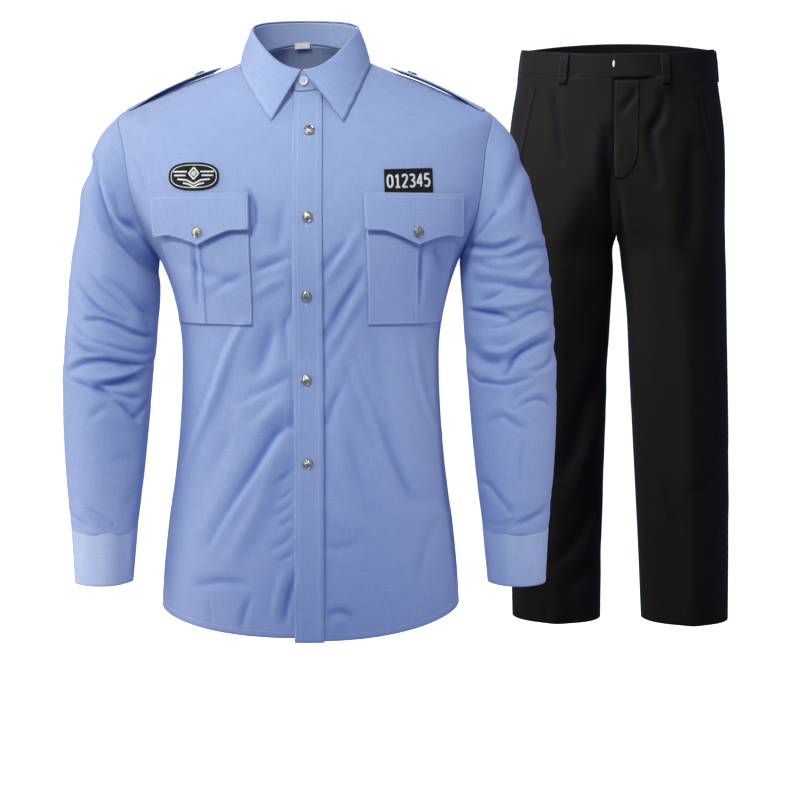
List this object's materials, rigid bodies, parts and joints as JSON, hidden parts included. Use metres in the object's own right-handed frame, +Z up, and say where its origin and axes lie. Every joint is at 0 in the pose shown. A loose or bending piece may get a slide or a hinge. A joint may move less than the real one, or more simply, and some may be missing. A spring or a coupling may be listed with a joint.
{
  "type": "guard-style uniform set",
  "caption": "Light-blue long-sleeved shirt with flap pockets and shoulder straps, and black pleated trousers, both filled out and hollow.",
  "frame": {"origin": "middle of the shirt's neck base, level with the shoulders, where the wearer's shoulders carry it", "axes": "+X to the viewer's right as in the picture, which is the wearer's left; +Y from the shirt's front to its back and on to the trousers; +Z up"},
  "size_m": [0.9614, 0.843, 0.9357],
  "materials": {
    "shirt_cloth": "light-blue woven cotton blend",
    "cuff_cloth": "light-blue interlined cloth",
    "metal_button": "antique silver-gold metal",
    "plastic_button": "white plastic",
    "patch": "black embroidered cloth",
    "label": "white woven tape, blank",
    "trouser_cloth": "black smooth suiting",
    "hook": "bright metal"
  },
  "bodies": {
    "root": {"shirt_front_left": "shirt_cloth", "shirt_front_right": "shirt_cloth", "shirt_back": "shirt_cloth", "shirt_yoke": "shirt_cloth", "shirt_placket": "shirt_cloth", "sleeve_right": "shirt_cloth", "sleeve_left": "shirt_cloth", "pocket_right": "shirt_cloth", "pocket_left": "shirt_cloth", "flap_right": "shirt_cloth", "flap_left": "shirt_cloth", "epaulette_right": "shirt_cloth", "epaulette_left": "shirt_cloth", "collar_stand": "shirt_cloth", "collar_fall": "shirt_cloth", "cuff_right": "cuff_cloth", "cuff_left": "cuff_cloth", "front_button_1": "metal_button", "front_button_2": "metal_button", "front_button_3": "metal_button", "front_button_4": "metal_button", "front_button_5": "metal_button", "pocket_button_right": "metal_button", "pocket_button_left": "metal_button", "epaulette_button_right": "metal_button", "epaulette_button_left": "metal_button", "collar_button": "plastic_button", "cuff_button_right": "plastic_button", "cuff_button_left": "plastic_button", "badge_patch": "patch", "number_patch": "patch", "neck_label": "label", "trouser_front_right": "trouser_cloth", "trouser_front_left": "trouser_cloth", "trouser_back_right": "trouser_cloth", "trouser_back_left": "trouser_cloth", "waistband": "trouser_cloth", "fly_facing": "trouser_cloth", "side_pocket_right": "trouser_cloth", "side_pocket_left": "trouser_cloth", "belt_loop_front_right": "trouser_cloth", "belt_loop_front_left": "trouser_cloth", "belt_loop_side_right": "trouser_cloth", "belt_loop_side_left": "trouser_cloth", "belt_loop_back": "trouser_cloth", "waist_hook": "hook"}
  },
  "joints": []
}
